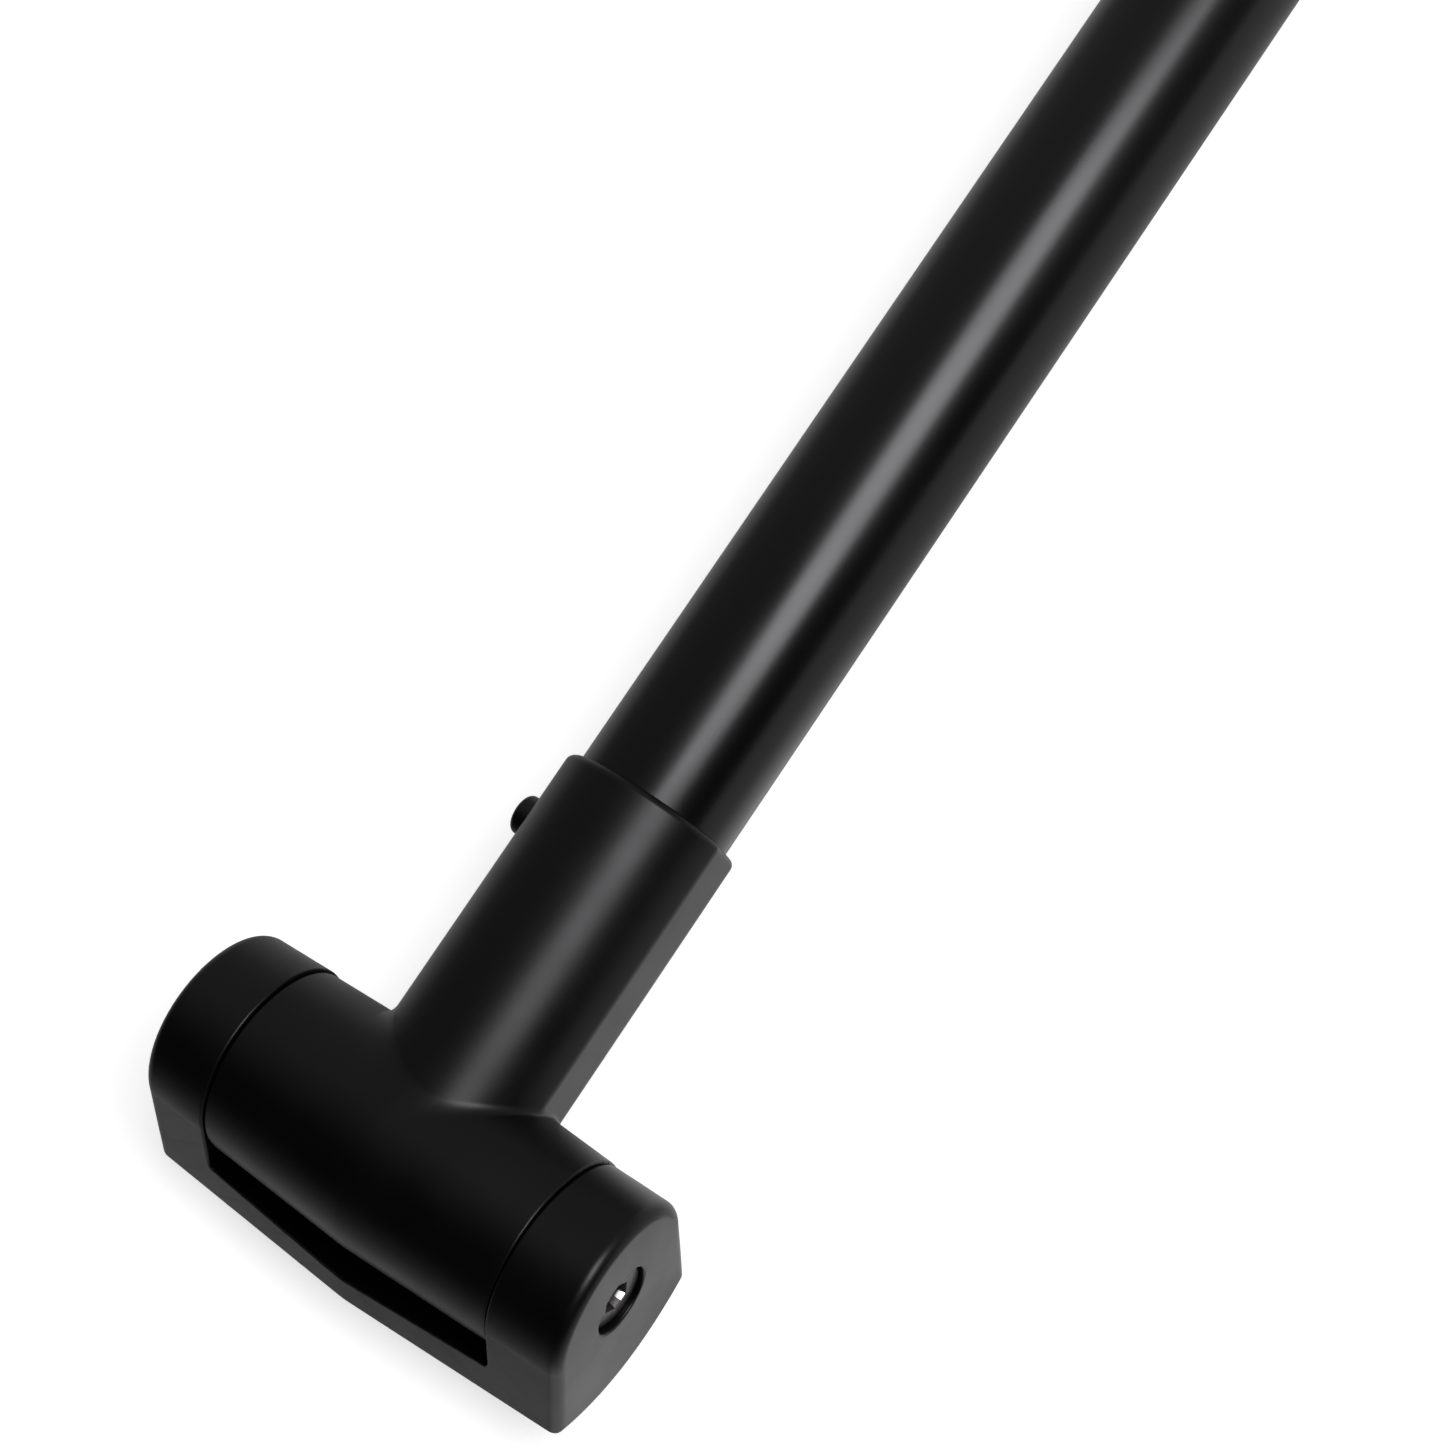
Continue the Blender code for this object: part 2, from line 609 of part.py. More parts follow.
def build_end(side, sign, turn, tube_bore_r, bar):
    """Head, foot and button of one end. Local +X runs from the pivot along the tube."""
    pivot = empty("pivot_" + side, (sign * HALF_SPAN, -sign * BARREL_OFFSET, 0.0), bar,
                  turn_z=turn)
    collar = empty("collar_axis_" + side, (0.0, -BARREL_OFFSET, 0.0), pivot)
    swing = empty("foot_axis_" + side, ORIGIN, pivot, turn_y=math.radians(FOOT_REST_DEG))

    build_head(side, pivot, collar)
    build_bushes(side, pivot)
    for build_part in (build_yoke, build_pad, build_bolt, build_washers, build_nut):
        build_part(side, swing)

    # The button's flange rests just inside the tube's curved wall
    shoulder = math.sqrt(tube_bore_r ** 2 - BUTTON_FLANGE_R ** 2) - 0.5
    build_button(side, collar, shoulder)
    spring = leaf_spring_shape(top=shoulder - 2.0, bottom=-tube_bore_r * 0.45)
    make_object("button_spring_" + side, spring, SPRING, collar)


def build():
    bar = empty("bar_axis", (0.0, 0.0, AXIS_HEIGHT))
    build_end("near", -1.0, 0.0, TUBE_BORE_R, bar)
    build_end("far", 1.0, math.pi, INNER_BORE_R, bar)
    for build_part in (build_outer_tube, build_inner_tube, build_adapter_sleeve,
                       build_slide_bush, build_collet, build_lock_sleeve):
        build_part(bar)


build()
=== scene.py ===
"""Bed cargo bar: two telescoping tubes with a twist lock, and a cast head and hinged foot at each end.

Lengths are millimetres unless noted. The bar lies along X, near end at -X, with Z up; the tube
axis is y = z = 0 while modelling and stands AXIS_HEIGHT above the scene's origin. The pieces of
an end are modelled about its pivot: Y along the pivot bolt, whose head is at -Y, +X towards the
middle of the bar, and the foot hanging along -Z before it is swung by FOOT_TURN.
"""
import math

import bpy
import numpy as np
from mathutils import Matrix, Vector


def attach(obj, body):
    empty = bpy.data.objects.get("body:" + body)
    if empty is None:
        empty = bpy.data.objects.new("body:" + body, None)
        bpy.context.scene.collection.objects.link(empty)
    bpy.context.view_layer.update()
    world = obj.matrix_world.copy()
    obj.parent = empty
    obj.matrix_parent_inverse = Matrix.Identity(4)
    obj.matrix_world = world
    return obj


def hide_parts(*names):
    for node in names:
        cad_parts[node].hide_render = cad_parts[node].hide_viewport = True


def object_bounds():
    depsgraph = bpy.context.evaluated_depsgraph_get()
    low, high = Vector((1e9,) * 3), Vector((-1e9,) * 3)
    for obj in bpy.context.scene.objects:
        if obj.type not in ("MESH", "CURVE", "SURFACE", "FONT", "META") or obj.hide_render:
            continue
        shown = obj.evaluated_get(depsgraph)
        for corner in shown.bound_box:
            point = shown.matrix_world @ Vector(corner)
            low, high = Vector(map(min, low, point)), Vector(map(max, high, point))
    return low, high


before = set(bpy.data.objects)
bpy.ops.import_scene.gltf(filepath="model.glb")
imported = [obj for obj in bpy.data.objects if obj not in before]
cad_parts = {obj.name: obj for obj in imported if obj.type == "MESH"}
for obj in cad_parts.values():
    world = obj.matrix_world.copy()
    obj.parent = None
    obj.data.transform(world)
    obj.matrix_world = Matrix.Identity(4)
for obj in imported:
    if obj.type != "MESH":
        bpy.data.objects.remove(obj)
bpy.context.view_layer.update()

MM = 0.001

# ---------------------------------------------------------------- driving sizes

HALF_SPAN = 700.0  # middle of the bar to each pivot
AXIS_HEIGHT = 36.94
FOOT_TURN = math.radians(23.0)
OFFSET = 1.5  # foot and barrel sit this far to +Y of the tube axis
TUBE_R, TUBE_WALL = 19.05, 2.0
INNER_R, INNER_WALL = 16.65, 1.8
TUBE_BORE, INNER_BORE = TUBE_R - TUBE_WALL, INNER_R - INNER_WALL
TUBE_START = 24.6  # pivot to tube end
OUTER_X0 = -HALF_SPAN + TUBE_START
OUTER_X1 = OUTER_X0 + 736.0
INNER_X1 = HALF_SPAN - TUBE_START
INNER_X0 = INNER_X1 - 926.0
MOUTH = 91.6  # pivot to the collar's open end
BUTTON_X = 75.4
PLUG_Y = 26.0  # pad plugs, either side of the foot's middle
NUT_NEAR, NUT_FAR = 51.0, 55.4
EXTRA = 0.75  # the -Y ends of barrel and trough lie this much further out

# side, body of the tube, body of the foot, body of the button, bore of the tube
ENDS = (
    ("near", "bar_outer", "foot_near", "button_near", TUBE_BORE),
    ("far", "bar_inner", "foot_far", "button_far", INNER_BORE),
)


# ---------------------------------------------------------------- distance fields
# Each field is negative inside its piece.

def cut_round(a, b, edge):
    """Intersection of two fields with a rounded edge."""
    return (np.minimum(-edge, np.maximum(a, b))
            + np.hypot(np.maximum(a + edge, 0.0), np.maximum(b + edge, 0.0)))


def join_round(a, b, fillet):
    """Union of two fields with a fillet."""
    return (np.maximum(fillet, np.minimum(a, b))
            - np.hypot(np.maximum(fillet - a, 0.0), np.maximum(fillet - b, 0.0)))


def soft_step(value, start, run):
    t = np.clip((value - start) / run, 0.0, 1.0)
    return t * t * (3.0 - 2.0 * t)


def from_middle(y):
    """Distance from y = 0, blunted there so that tapers have no crease."""
    return np.sqrt(y * y + 1.0) - 1.0


def to_end(y):
    """Distance towards either end, less EXTRA on the -Y side."""
    return np.where(y < 0.0, -y - EXTRA, y)


BARREL_HALF, BARREL_END_R, BARREL_MID_R = 39.12, 22.6, 24.1
COLLAR_R, COLLAR_FLAT = 21.8, 20.81
SOCKET_R, SOCKET_X0 = 19.22, 24.0
BUTTON_HOLE_R, BUTTON_HOLE_Y0 = 5.1, 12.0
THROUGH_R = 5.0
BARREL_BORES = ((9.8, 37.75), (6.03, 23.9))  # radius, start from the barrel's middle


def head_field(x, y, z):
    """Tapered barrel along the pivot, joined to a flat-sided collar around the tube."""
    along = y - OFFSET
    slope = (BARREL_MID_R - BARREL_END_R) / BARREL_HALF
    around = np.hypot(x, z)
    barrel = around - (BARREL_MID_R - slope * from_middle(along))
    barrel = cut_round(barrel, to_end(along) - BARREL_HALF, edge=0.55)
    r = np.hypot(y, z)
    collar = cut_round(r - COLLAR_R, np.abs(y) - COLLAR_FLAT, edge=0.25)
    collar = cut_round(collar, x - MOUTH, edge=1.9)
    collar = np.maximum(collar, -x)
    # The fillet grows from 1.3 to 2.9 towards +Y
    body = join_round(barrel, collar, fillet=1.3 + 1.6 * np.clip((y + 6.0) / 18.0, 0.0, 1.0))
    body = cut_round(body, -np.maximum(r - SOCKET_R, SOCKET_X0 - x), edge=0.3)
    hole = np.hypot(x - BUTTON_X, z) - BUTTON_HOLE_R
    body = cut_round(body, -np.maximum(hole, BUTTON_HOLE_Y0 - y), edge=0.4)
    for radius, start in BARREL_BORES:
        body = np.maximum(body, -np.maximum(around - radius, start - np.abs(along)))
    return np.maximum(body, -(around - THROUGH_R))


FOOT_HALF, BOLT_END = 57.6, 58.3  # pivot's middle to the +Y and -Y end faces
TOP_END_R, TOP_TAPER = 22.4, 0.0384  # crown radius at the end, its gain per mm towards the middle
SOLE_EDGE, SOLE_TAPER = 25.2, 0.0346  # depth of the sole's edge, its gain likewise
SOLE_BULGE = 7.0
FLANK_SLOPE = 0.05
CROWN_DROP = 0.85
END_DOME = 3000.0  # divides the squared radius into the dome of the end faces
POCKET_Z, POCKET_HALF = -29.6, 41.0
EAR_INNER = 39.5
LIP_END, LIP_GAIN = 13.4, 4.3  # trough's rim: depth at the ears, and gain at the middle
FLOOR_END, FLOOR_GAIN = 26.0, 0.8  # trough's floor, likewise
BOLT_RECESS_R, NUT_RECESS_R, RECESS_Y = 8.05, 7.7, 49.2
EAR_HOLE_R, EAR_HOLE_Y = 4.3, 30.0
PLUG_HOLE_R, PLUG_HOLE_TOP = 3.3, -20.0


def yoke_field(x, y, z):
    """Foot: two ears around the pivot, a trough between them, a bulged sole with a pad pocket."""
    ay = np.abs(y)
    inboard = FOOT_HALF - from_middle(y)
    top = TOP_END_R + inboard * TOP_TAPER
    # The inner part of the -Y ear has a slightly lower crown, which fades out on every side
    relief = (soft_step(-y, start=34.0, run=6.0) * np.clip(1.0 - (ay - 40.0) / 17.0, 0.0, 1.0)
              * soft_step(x, start=-14.0, run=22.0))
    top = top - CROWN_DROP * relief * soft_step(z, start=-14.0, run=10.0)
    flank = np.abs(x) - top - FLANK_SLOPE * np.maximum(-z, 0.0)
    side = np.where(z > 0, np.hypot(x, z) - top, flank)
    edge = SOLE_EDGE + inboard * SOLE_TAPER
    wide = top + FLANK_SLOPE * edge
    under = ((-edge - SOLE_BULGE * (1.0 - (x / wide) ** 2) - z)
             / np.hypot(1.0, 2.0 * SOLE_BULGE * x / wide ** 2))
    body = cut_round(side, under, edge=1.1)
    # The -Y end face is slightly out of square with the pivot, the +Y one is square
    ends = np.where(y < 0.0, -y - BOLT_END - 0.01 * z + 0.045 * x, y - FOOT_HALF)
    body = cut_round(body, ends + (x * x + z * z) / END_DOME, edge=2.8)
    body = cut_round(body, -np.maximum(z - POCKET_Z, ay - POCKET_HALF), edge=0.3)
    # The trough is an arc through both rims and the floor
    part = 1.0 - from_middle(y) / EAR_INNER
    lip = LIP_END + LIP_GAIN * part
    low = FLOOR_END + FLOOR_GAIN * part
    reach = top + FLANK_SLOPE * lip
    rise = low - lip
    radius = (reach ** 2 + rise ** 2) / (2.0 * rise)
    trough = np.hypot(x, z - (radius - low)) - radius
    body = cut_round(body, -cut_round(trough, to_end(y) - EAR_INNER, edge=1.0), edge=0.6)
    around = np.hypot(x, z)
    recess = around - np.where(y < 0.0, BOLT_RECESS_R, NUT_RECESS_R)
    body = cut_round(body, -np.maximum(recess, RECESS_Y - ay), edge=0.5)
    body = np.maximum(body, -np.maximum(around - EAR_HOLE_R, EAR_HOLE_Y - ay))
    plug_hole = np.hypot(x, ay - PLUG_Y) - PLUG_HOLE_R
    return np.maximum(body, -np.maximum(plug_hole, z - PLUG_HOLE_TOP))


NUT_HALF_FLATS, NUT_BORE = 6.3, 4.3
# Cone on the nut's corners: its radius CONE_IN inside each face, and its slope
CONE_R, CONE_IN, CONE_SLOPE = 6.35, 0.5, 1.7


def hexagon(x, z, half):
    c, s = 0.5, math.sqrt(3.0) / 2.0
    slanted = np.maximum(np.abs(c * x + s * z), np.abs(c * x - s * z))
    return np.maximum(np.abs(x), slanted) - half


def nut_field(x, y, z):
    """Hexagon nut with chamfered corners."""
    r = np.hypot(x, z)
    middle, half = (NUT_NEAR + NUT_FAR) / 2.0, (NUT_FAR - NUT_NEAR) / 2.0
    ends = np.abs(y - middle) - half
    body = cut_round(hexagon(x, z, NUT_HALF_FLATS), ends, edge=0.15)
    cone = (r - CONE_R + (ends + CONE_IN) * CONE_SLOPE) / 2.0
    body = cut_round(body, cone, edge=0.1)
    return cut_round(body, -(r - NUT_BORE), edge=0.25)


PAD_HALF_X, PAD_HALF_Y, PAD_CORNER = 15.5, 40.0, 4.0
PAD_BOTTOM, PAD_TOP = -34.0, -29.9
GROOVE_PITCH, GROOVE_R, GROOVE_Z = 8.0, 1.15, -34.35
PLUG_R, PLUG_Z, PLUG_HALF = 3.0, -28.6, 1.9


def pad_field(x, y, z):
    """Rounded block with cross grooves underneath and two plugs on top."""
    ax = np.abs(x) - PAD_HALF_X + PAD_CORNER
    ay = np.abs(y) - PAD_HALF_Y + PAD_CORNER
    outline = (np.hypot(np.maximum(ax, 0.0), np.maximum(ay, 0.0))
               + np.minimum(np.maximum(ax, ay), 0.0) - PAD_CORNER)
    body = cut_round(outline, PAD_BOTTOM - z, edge=1.5)
    body = cut_round(body, z - PAD_TOP, edge=0.4)
    row = np.abs((y + GROOVE_PITCH / 2.0) % GROOVE_PITCH - GROOVE_PITCH / 2.0)
    body = cut_round(body, -(np.hypot(row, z - GROOVE_Z) - GROOVE_R), edge=0.25)
    plug = np.hypot(x, np.abs(y) - PLUG_Y) - PLUG_R
    plug = cut_round(plug, np.abs(z - PLUG_Z) - PLUG_HALF, edge=0.4)
    return join_round(body, plug, fillet=0.25)


# ---------------------------------------------------------------- meshes from fields

PULLS = 7  # steps that pull each vertex onto the surface
PROBE = 0.02  # half the span over which a gradient is taken


def ticks(*spans):
    """Grid lines: (start, end, step) spans laid end to end."""
    lines = []
    for start, end, step in spans:
        n = round((end - start) / step)
        lines.extend(start + (end - start) * i / n for i in range(n))
    lines.append(spans[-1][1])
    return np.array(lines)


def gradient(field, points):
    slopes = np.empty_like(points)
    for axis in range(3):
        step = np.zeros(3)
        step[axis] = PROBE
        slopes[:, axis] = (field(*(points + step).T) - field(*(points - step).T)) / (2.0 * PROBE)
    return slopes


def surface(field, grid_x, grid_y, grid_z):
    """Closed quad mesh on a field's zero level, one vertex to a crossed cell, with normals."""
    inside = field(*np.meshgrid(grid_x, grid_y, grid_z, indexing="ij")) < 0.0
    nx, ny, nz = (n - 1 for n in inside.shape)
    count = np.zeros((nx, ny, nz), np.int8)
    for i in (0, 1):
        for j in (0, 1):
            for k in (0, 1):
                count += inside[i:nx + i, j:ny + j, k:nz + k]
    active = (count > 0) & (count < 8)
    index = np.full(active.shape, -1, np.int64)
    index[active] = np.arange(active.sum())
    cells = np.argwhere(active)
    grids = (grid_x, grid_y, grid_z)
    low = np.stack([grid[cells[:, axis]] for axis, grid in enumerate(grids)], 1)
    high = np.stack([grid[cells[:, axis] + 1] for axis, grid in enumerate(grids)], 1)

    points = (low + high) / 2.0
    for _ in range(PULLS):
        slopes = gradient(field, points)
        value = field(*points.T)
        points = points - slopes * (value / np.maximum((slopes * slopes).sum(1), 1e-6))[:, None]
        points = np.minimum(np.maximum(points, low), high)
    slopes = gradient(field, points)
    normals = slopes / np.maximum(np.linalg.norm(slopes, axis=1), 1e-9)[:, None]

    # A quad joins the four cells around each grid edge that crosses the surface
    quads = []
    for axis in range(3):
        moved = np.moveaxis(inside, axis, 0)
        cell = np.moveaxis(index, axis, 0)
        a, b = moved[:-1, 1:-1, 1:-1], moved[1:, 1:-1, 1:-1]
        corners = (cell[:, :-1, :-1], cell[:, 1:, :-1], cell[:, 1:, 1:], cell[:, :-1, 1:])
        for crossing, entering in ((a & ~b, False), (~a & b, True)):
            ring = np.stack([corner[crossing] for corner in corners], 1)
            quads.append(ring if entering == (axis == 1) else ring[:, ::-1])
    return points, np.concatenate(quads), normals


# ---------------------------------------------------------------- meshes from profiles

ARC_STEPS = 4


def rounded(profile):
    """Closed (along, radius) profile from (along, radius, fillet) corners, fillets as arcs."""
    out = []
    for i, (along, radius, fillet) in enumerate(profile):
        if fillet <= 0:
            out.append((along, radius))
            continue
        corner = Vector((along, radius))
        before = Vector(profile[i - 1][:2]) - corner
        after = Vector(profile[(i + 1) % len(profile)][:2]) - corner
        half = before.angle(after) / 2.0
        back = min(fillet / math.tan(half), before.length * 0.49, after.length * 0.49)
        arc_radius = back * math.tan(half)
        before.normalize()
        after.normalize()
        middle = (before + after).normalized() * (arc_radius / math.sin(half)) + corner
        start = corner + before * back - middle
        end = corner + after * back - middle
        sweep = start.angle_signed(end)
        for k in range(ARC_STEPS + 1):
            t = -sweep * k / ARC_STEPS
            c, s = math.cos(t), math.sin(t)
            arm = Vector((start.x * c - start.y * s, start.x * s + start.y * c))
            point = middle + arm
            out.append((point.x, point.y))
    return out


def turned(corners, segments, shape=None):
    """Ring about X from a profile whose outside runs towards +X.

    shape(along, radius, angle) may bend the radius.
    """
    profile = rounded(corners)
    points, faces, n = [], [], len(profile)
    for k in range(segments):
        t = 2.0 * math.pi * k / segments
        for along, radius in profile:
            r = shape(along, radius, t) if shape else radius
            points.append((along, r * math.cos(t), r * math.sin(t)))
        this, following = k * n, (k + 1) % segments * n
        for j in range(n):
            i = (j + 1) % n
            faces.append((following + j, following + i, this + i, this + j))
    return np.array(points), np.array(faces)


def capped(rings, segments, hex_rings=0):
    """Solid about Y through (along, radius) rings, closed by a fan at each end.

    The first hex_rings rings are hexagons, whose radius is half their width across flats.
    """
    sixth = math.pi / 3.0
    n = len(rings)
    points = [(0.0, rings[0][0], 0.0), (0.0, rings[-1][0], 0.0)]
    faces = []
    for k in range(segments):
        t = 2.0 * math.pi * k / segments
        from_flat = (t + sixth / 2.0 + math.radians(10.0)) % sixth - sixth / 2.0
        for j, (along, radius) in enumerate(rings):
            r = radius / math.cos(from_flat) if j < hex_rings else radius
            points.append((r * math.cos(t), along, r * math.sin(t)))
        a, b = 2 + k * n, 2 + (k + 1) % segments * n
        faces.append((0, a, b))
        faces.append((1, b + n - 1, a + n - 1))
        faces += [(a + j, a + j + 1, b + j + 1, b + j) for j in range(n - 1)]
    return points, faces


# ---------------------------------------------------------------- placing

def at_end(vectors, side, foot, start):
    """Vectors of an end put in the bar's frame. The far end is the near one turned about Z."""
    v = np.array(vectors, float)
    if foot:
        c, s = math.cos(FOOT_TURN), math.sin(FOOT_TURN)
        v = np.stack([v[:, 0] * c + v[:, 2] * s, v[:, 1], -v[:, 0] * s + v[:, 2] * c], 1)
    v += start
    if side == "far":
        v[:, :2] *= -1.0
    return v


def placed(points, side, foot=False):
    return at_end(points, side, foot, start=(-HALF_SPAN, OFFSET if foot else 0.0, 0.0))


def mesh_object(name, points, faces, look, body, slot, node, normals=None, smooth=None):
    """A piece riding on a CAD body and standing for a CAD node.

    It is shaded with its own normals, or split at edges sharper than smooth degrees.
    """
    mesh = bpy.data.meshes.new(name)
    points = (np.asarray(points, float) + np.array([0.0, 0.0, AXIS_HEIGHT])) * MM
    if isinstance(faces, np.ndarray):
        mesh.vertices.add(len(points))
        mesh.vertices.foreach_set("co", points.astype(np.float32).ravel())
        mesh.loops.add(faces.size)
        mesh.loops.foreach_set("vertex_index", faces.astype(np.int32).ravel())
        mesh.polygons.add(len(faces))
        mesh.polygons.foreach_set("loop_start", (np.arange(len(faces)) * 4).astype(np.int32))
        mesh.update(calc_edges=True)
    else:
        mesh.from_pydata([tuple(p) for p in points], [], faces)
        mesh.update()
    mesh.materials.append(look)
    mesh.shade_smooth()
    if normals is not None:
        mesh.normals_split_custom_set_from_vertices([tuple(n) for n in normals])
    else:
        mesh.set_sharp_from_angle(angle=math.radians(smooth))
    made = bpy.data.objects.new(name, mesh)
    bpy.context.scene.collection.objects.link(made)
    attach(made, body)
    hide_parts(node)
    return made


def field_object(name, shape, side, look, body, slot, node, foot=True):
    """A piece of one end from the points, quads and normals of a field."""
    points, quads, normals = shape
    mesh_object(f"{name}_{side}", placed(points, side, foot), quads, look, body, slot,
                f"{node}_{side}", normals=at_end(normals, side, foot, start=(0.0, 0.0, 0.0)))


# ---------------------------------------------------------------- materials

class Look:
    """A node tree being wired. A value fed to a socket is a number, a colour or another socket."""

    def __init__(self, owner, shader):
        owner.use_nodes = True
        self.owner = owner
        self.tree = owner.node_tree
        self.shader = self.tree.nodes[shader]

    def feed(self, node, key, value):
        if isinstance(value, bpy.types.NodeSocket):
            self.tree.links.new(value, node.inputs[key])
        else:
            node.inputs[key].default_value = value

    def finish(self, key, value):
        self.feed(self.shader, key, value)

    def add(self, kind, inputs=None, **settings):
        node = self.tree.nodes.new("ShaderNode" + kind)
        for key, value in settings.items():
            setattr(node, key, value)
        for key, value in (inputs or {}).items():
            self.feed(node, key, value)
        return node

    def place(self, kind="Object"):
        return self.add("TexCoord").outputs[kind]

    def mapped(self, scale=(1.0, 1.0, 1.0)):
        return self.add("Mapping", {"Vector": self.place(), "Scale": scale}).outputs["Vector"]

    def noise(self, at, scale, detail=4.0, rough=0.55):
        inputs = {"Vector": at, "Scale": scale, "Detail": detail, "Roughness": rough}
        return self.add("TexNoise", inputs).outputs["Fac"]

    def ramp(self, value, start, end, low, high, **settings):
        inputs = {"Value": value, "From Min": start, "From Max": end, "To Min": low,
                  "To Max": high}
        return self.add("MapRange", inputs, **settings).outputs["Result"]

    def soft_ramp(self, value, start, end, low=0.0, high=1.0):
        return self.ramp(value, start, end, low, high, interpolation_type="SMOOTHSTEP")

    def mix(self, factor, a, b):
        inputs = {"Factor": factor, "A": (*a, 1.0), "B": (*b, 1.0)}
        return self.add("Mix", inputs, data_type="RGBA").outputs["Result"]

    def maths(self, operation, *terms):
        return self.add("Math", dict(enumerate(terms)), operation=operation).outputs["Value"]

    def bump(self, height, depth, **before):
        """Bump of a depth in metres. Normal=socket lays it over an earlier one."""
        inputs = {"Strength": 1.0, "Distance": depth, "Height": height, **before}
        return self.add("Bump", inputs).outputs["Normal"]

    def colour(self, noise, colour, dark, light):
        """Base colour that wanders between two multiples of a colour."""
        self.finish("Base Color", self.mix(noise, tuple(c * dark for c in colour),
                                           tuple(min(1.0, c * light) for c in colour)))

    def gloss(self, noise, low, high):
        self.finish("Roughness", self.ramp(noise, 0.3, 0.7, low, high))


def material(name):
    return Look(bpy.data.materials.new(name), "Principled BSDF")


# In all three kinds, grain is the scale of the fine noise and depth its relief in metres.

def painted(name, colour, rough, grain, depth, specular, wave=None, stretch=(1.0, 1.0, 1.0)):
    """Satin paint: powder grain, slow (scale, depth) waves, slight shifts in colour and gloss."""
    look = material(name)
    at = look.mapped(stretch)
    slow = look.noise(at, scale=55.0, detail=3.0)
    fine = look.noise(at, scale=grain, detail=2.0, rough=0.5)
    look.colour(slow, colour, dark=0.82, light=1.2)
    look.gloss(slow, rough - 0.03, rough + 0.035)
    look.finish("Specular IOR Level", specular)
    normal = look.bump(fine, depth)
    if wave:
        peel = look.noise(at, scale=wave[0], detail=2.0, rough=0.4)
        normal = look.bump(peel, wave[1], Normal=normal)
    look.finish("Normal", normal)
    return look.owner


def metal(name, colour, rough, brushed=False, grain=900.0, depth=4e-6, metallic=1.0):
    """Metal with fine grain, drawn out along X when brushed."""
    look = material(name)
    at = look.mapped((0.03 if brushed else 1.0, 1.0, 1.0))
    slow = look.noise(look.mapped(), scale=90.0)
    fine = look.noise(at, scale=grain, detail=2.0, rough=0.6)
    look.colour(slow, colour, dark=0.85, light=1.08)
    look.gloss(fine, rough - 0.05, rough + 0.08)
    look.finish("Metallic", metallic)
    look.finish("Normal", look.bump(fine, depth))
    return look.owner


def moulded(name, colour, rough, grain, depth, specular=0.4):
    """Textured plastic or rubber."""
    look = material(name)
    at = look.mapped()
    slow = look.noise(at, scale=70.0)
    fine = look.noise(at, scale=grain, detail=2.0, rough=0.6)
    look.colour(slow, colour, dark=0.8, light=1.15)
    look.gloss(fine, rough - 0.05, rough + 0.06)
    look.finish("Specular IOR Level", specular)
    look.finish("Normal", look.bump(fine, depth))
    return look.owner


CAST = painted("satin_black_casting", (0.0013, 0.0012, 0.0014), rough=0.37, grain=1500.0,
               depth=3.5e-6, specular=0.38, wave=(130.0, 1e-5))
TUBE = painted("satin_black_tube", (0.0012, 0.0012, 0.0016), rough=0.285, grain=1700.0,
               depth=2.5e-6, specular=0.5, wave=(60.0, 4e-6), stretch=(0.25, 1.0, 1.0))
BUTTON = painted("black_button_paint", (0.0015, 0.0015, 0.0016), rough=0.38, grain=1500.0,
                 depth=3e-6, specular=0.45)
ANODISED = metal("black_anodised", (0.030, 0.030, 0.034), rough=0.30, brushed=True,
                 grain=1400.0, depth=3e-6, metallic=0.75)
BLACK_STEEL = metal("black_oxide_steel", (0.045, 0.043, 0.042), rough=0.34, grain=1500.0,
                    depth=3e-6, metallic=0.6)
STEEL = metal("bare_steel", (0.62, 0.60, 0.57), rough=0.24, grain=7000.0, depth=1e-7)
ZINC = metal("zinc_plate", (0.60, 0.59, 0.55), rough=0.27)
SPRING = metal("spring_strip", (0.42, 0.43, 0.46), rough=0.30, brushed=True)
PLASTIC = moulded("textured_black_plastic", (0.018, 0.018, 0.019), rough=0.50, grain=1900.0,
                  depth=2.2e-5)
NYLON = moulded("natural_nylon", (0.68, 0.66, 0.60), rough=0.46, grain=1500.0, depth=6e-6,
                specular=0.5)
RUBBER = moulded("black_pad_rubber", (0.020, 0.020, 0.020), rough=0.74, grain=1300.0,
                 depth=4e-5, specular=0.3)

# ---------------------------------------------------------------- shapes from fields
# Grids are finer at edges, and most are nudged a little off round numbers.

HEAD_X = ticks((-25.2, 32.0, 0.52), (32.0, 86.0, 1.5), (86.0, 92.4, 0.3))
HEAD_Y = ticks((-38.6, -35.4, 0.26), (-35.4, -25.0, 0.9), (-25.0, 25.0, 0.5),
               (25.0, 38.4, 0.9), (38.4, 41.4, 0.26))
HEAD_Z = ticks((-25.3, 25.3, 0.5))
YOKE_X = ticks((-26.9, 26.9, 0.5))
YOKE_Y_HALF = ticks((0.0, 3.0, 0.75), (3.0, 38.0, 1.4), (38.0, 42.2, 0.28), (42.2, 49.0, 1.2),
                    (49.0, 50.0, 0.25), (50.0, 53.5, 0.9), (53.5, 60.1, 0.3))
YOKE_Y = np.concatenate([-YOKE_Y_HALF[:0:-1], YOKE_Y_HALF])
YOKE_Z = ticks((-35.2, -20.0, 0.4), (-20.0, 25.4, 0.5))
PAD_X = ticks((-16.0, 16.0, 0.45))
PAD_Y = ticks((-40.5, 40.5, 0.33))
PAD_Z = ticks((-34.5, -33.0, 0.25), (-33.0, -30.6, 0.6), (-30.6, -26.2, 0.22))
NUT_XZ = ticks((-7.7, 7.7, 0.22))
NUT_Y = ticks((50.6, 55.9, 0.2))

